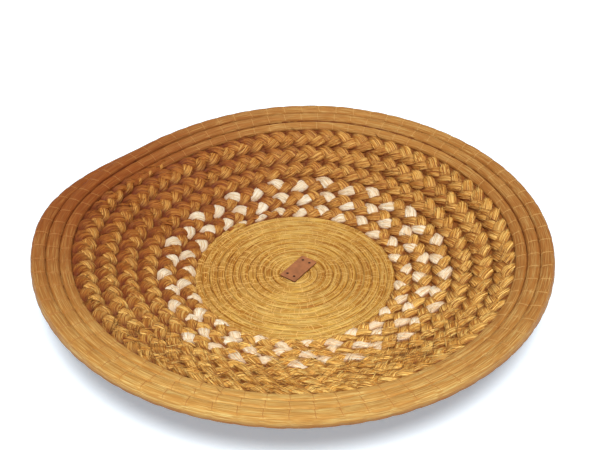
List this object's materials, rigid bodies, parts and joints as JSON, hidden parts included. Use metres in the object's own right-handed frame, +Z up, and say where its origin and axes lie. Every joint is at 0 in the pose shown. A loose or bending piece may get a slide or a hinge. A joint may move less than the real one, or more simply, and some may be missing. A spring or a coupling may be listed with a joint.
{
  "type": "coiled and plaited grass basket",
  "caption": "Shallow round basket: flat coiled base, plaited wall with a cream strand near the base, thick coiled rim and a small leather tag; holds fruit or bread.",
  "frame": {"origin": "centre of the basket's outline in plan, at the underside of its flat base", "axes": "+Z up out of the bowl; the winding's radius grows clockwise seen from above, and the plait starts and ends towards -X +Y"},
  "size_m": [0.4182, 0.4108, 0.0523],
  "materials": {
    "base_grass": "thin sewn bundles of glossy golden grass",
    "cream_plait": "three-strand plait of glossy golden grass with one pale cream strand",
    "golden_plait": "three-strand plait of glossy golden-brown grass",
    "rim_grass": "thick sewn bundles of glossy golden-brown grass with pale thread",
    "tag_leather": "smooth matt brown leather, bare",
    "tag_thread": "dark brown waxed thread"
  },
  "bodies": {
    "root": {"base_coil": "base_grass", "plait_cream": "cream_plait", "plait_golden": "golden_plait", "rim_coil": "rim_grass", "leather_tag": "tag_leather", "tag_stitch_near": "tag_thread", "tag_stitch_far": "tag_thread"}
  },
  "joints": []
}
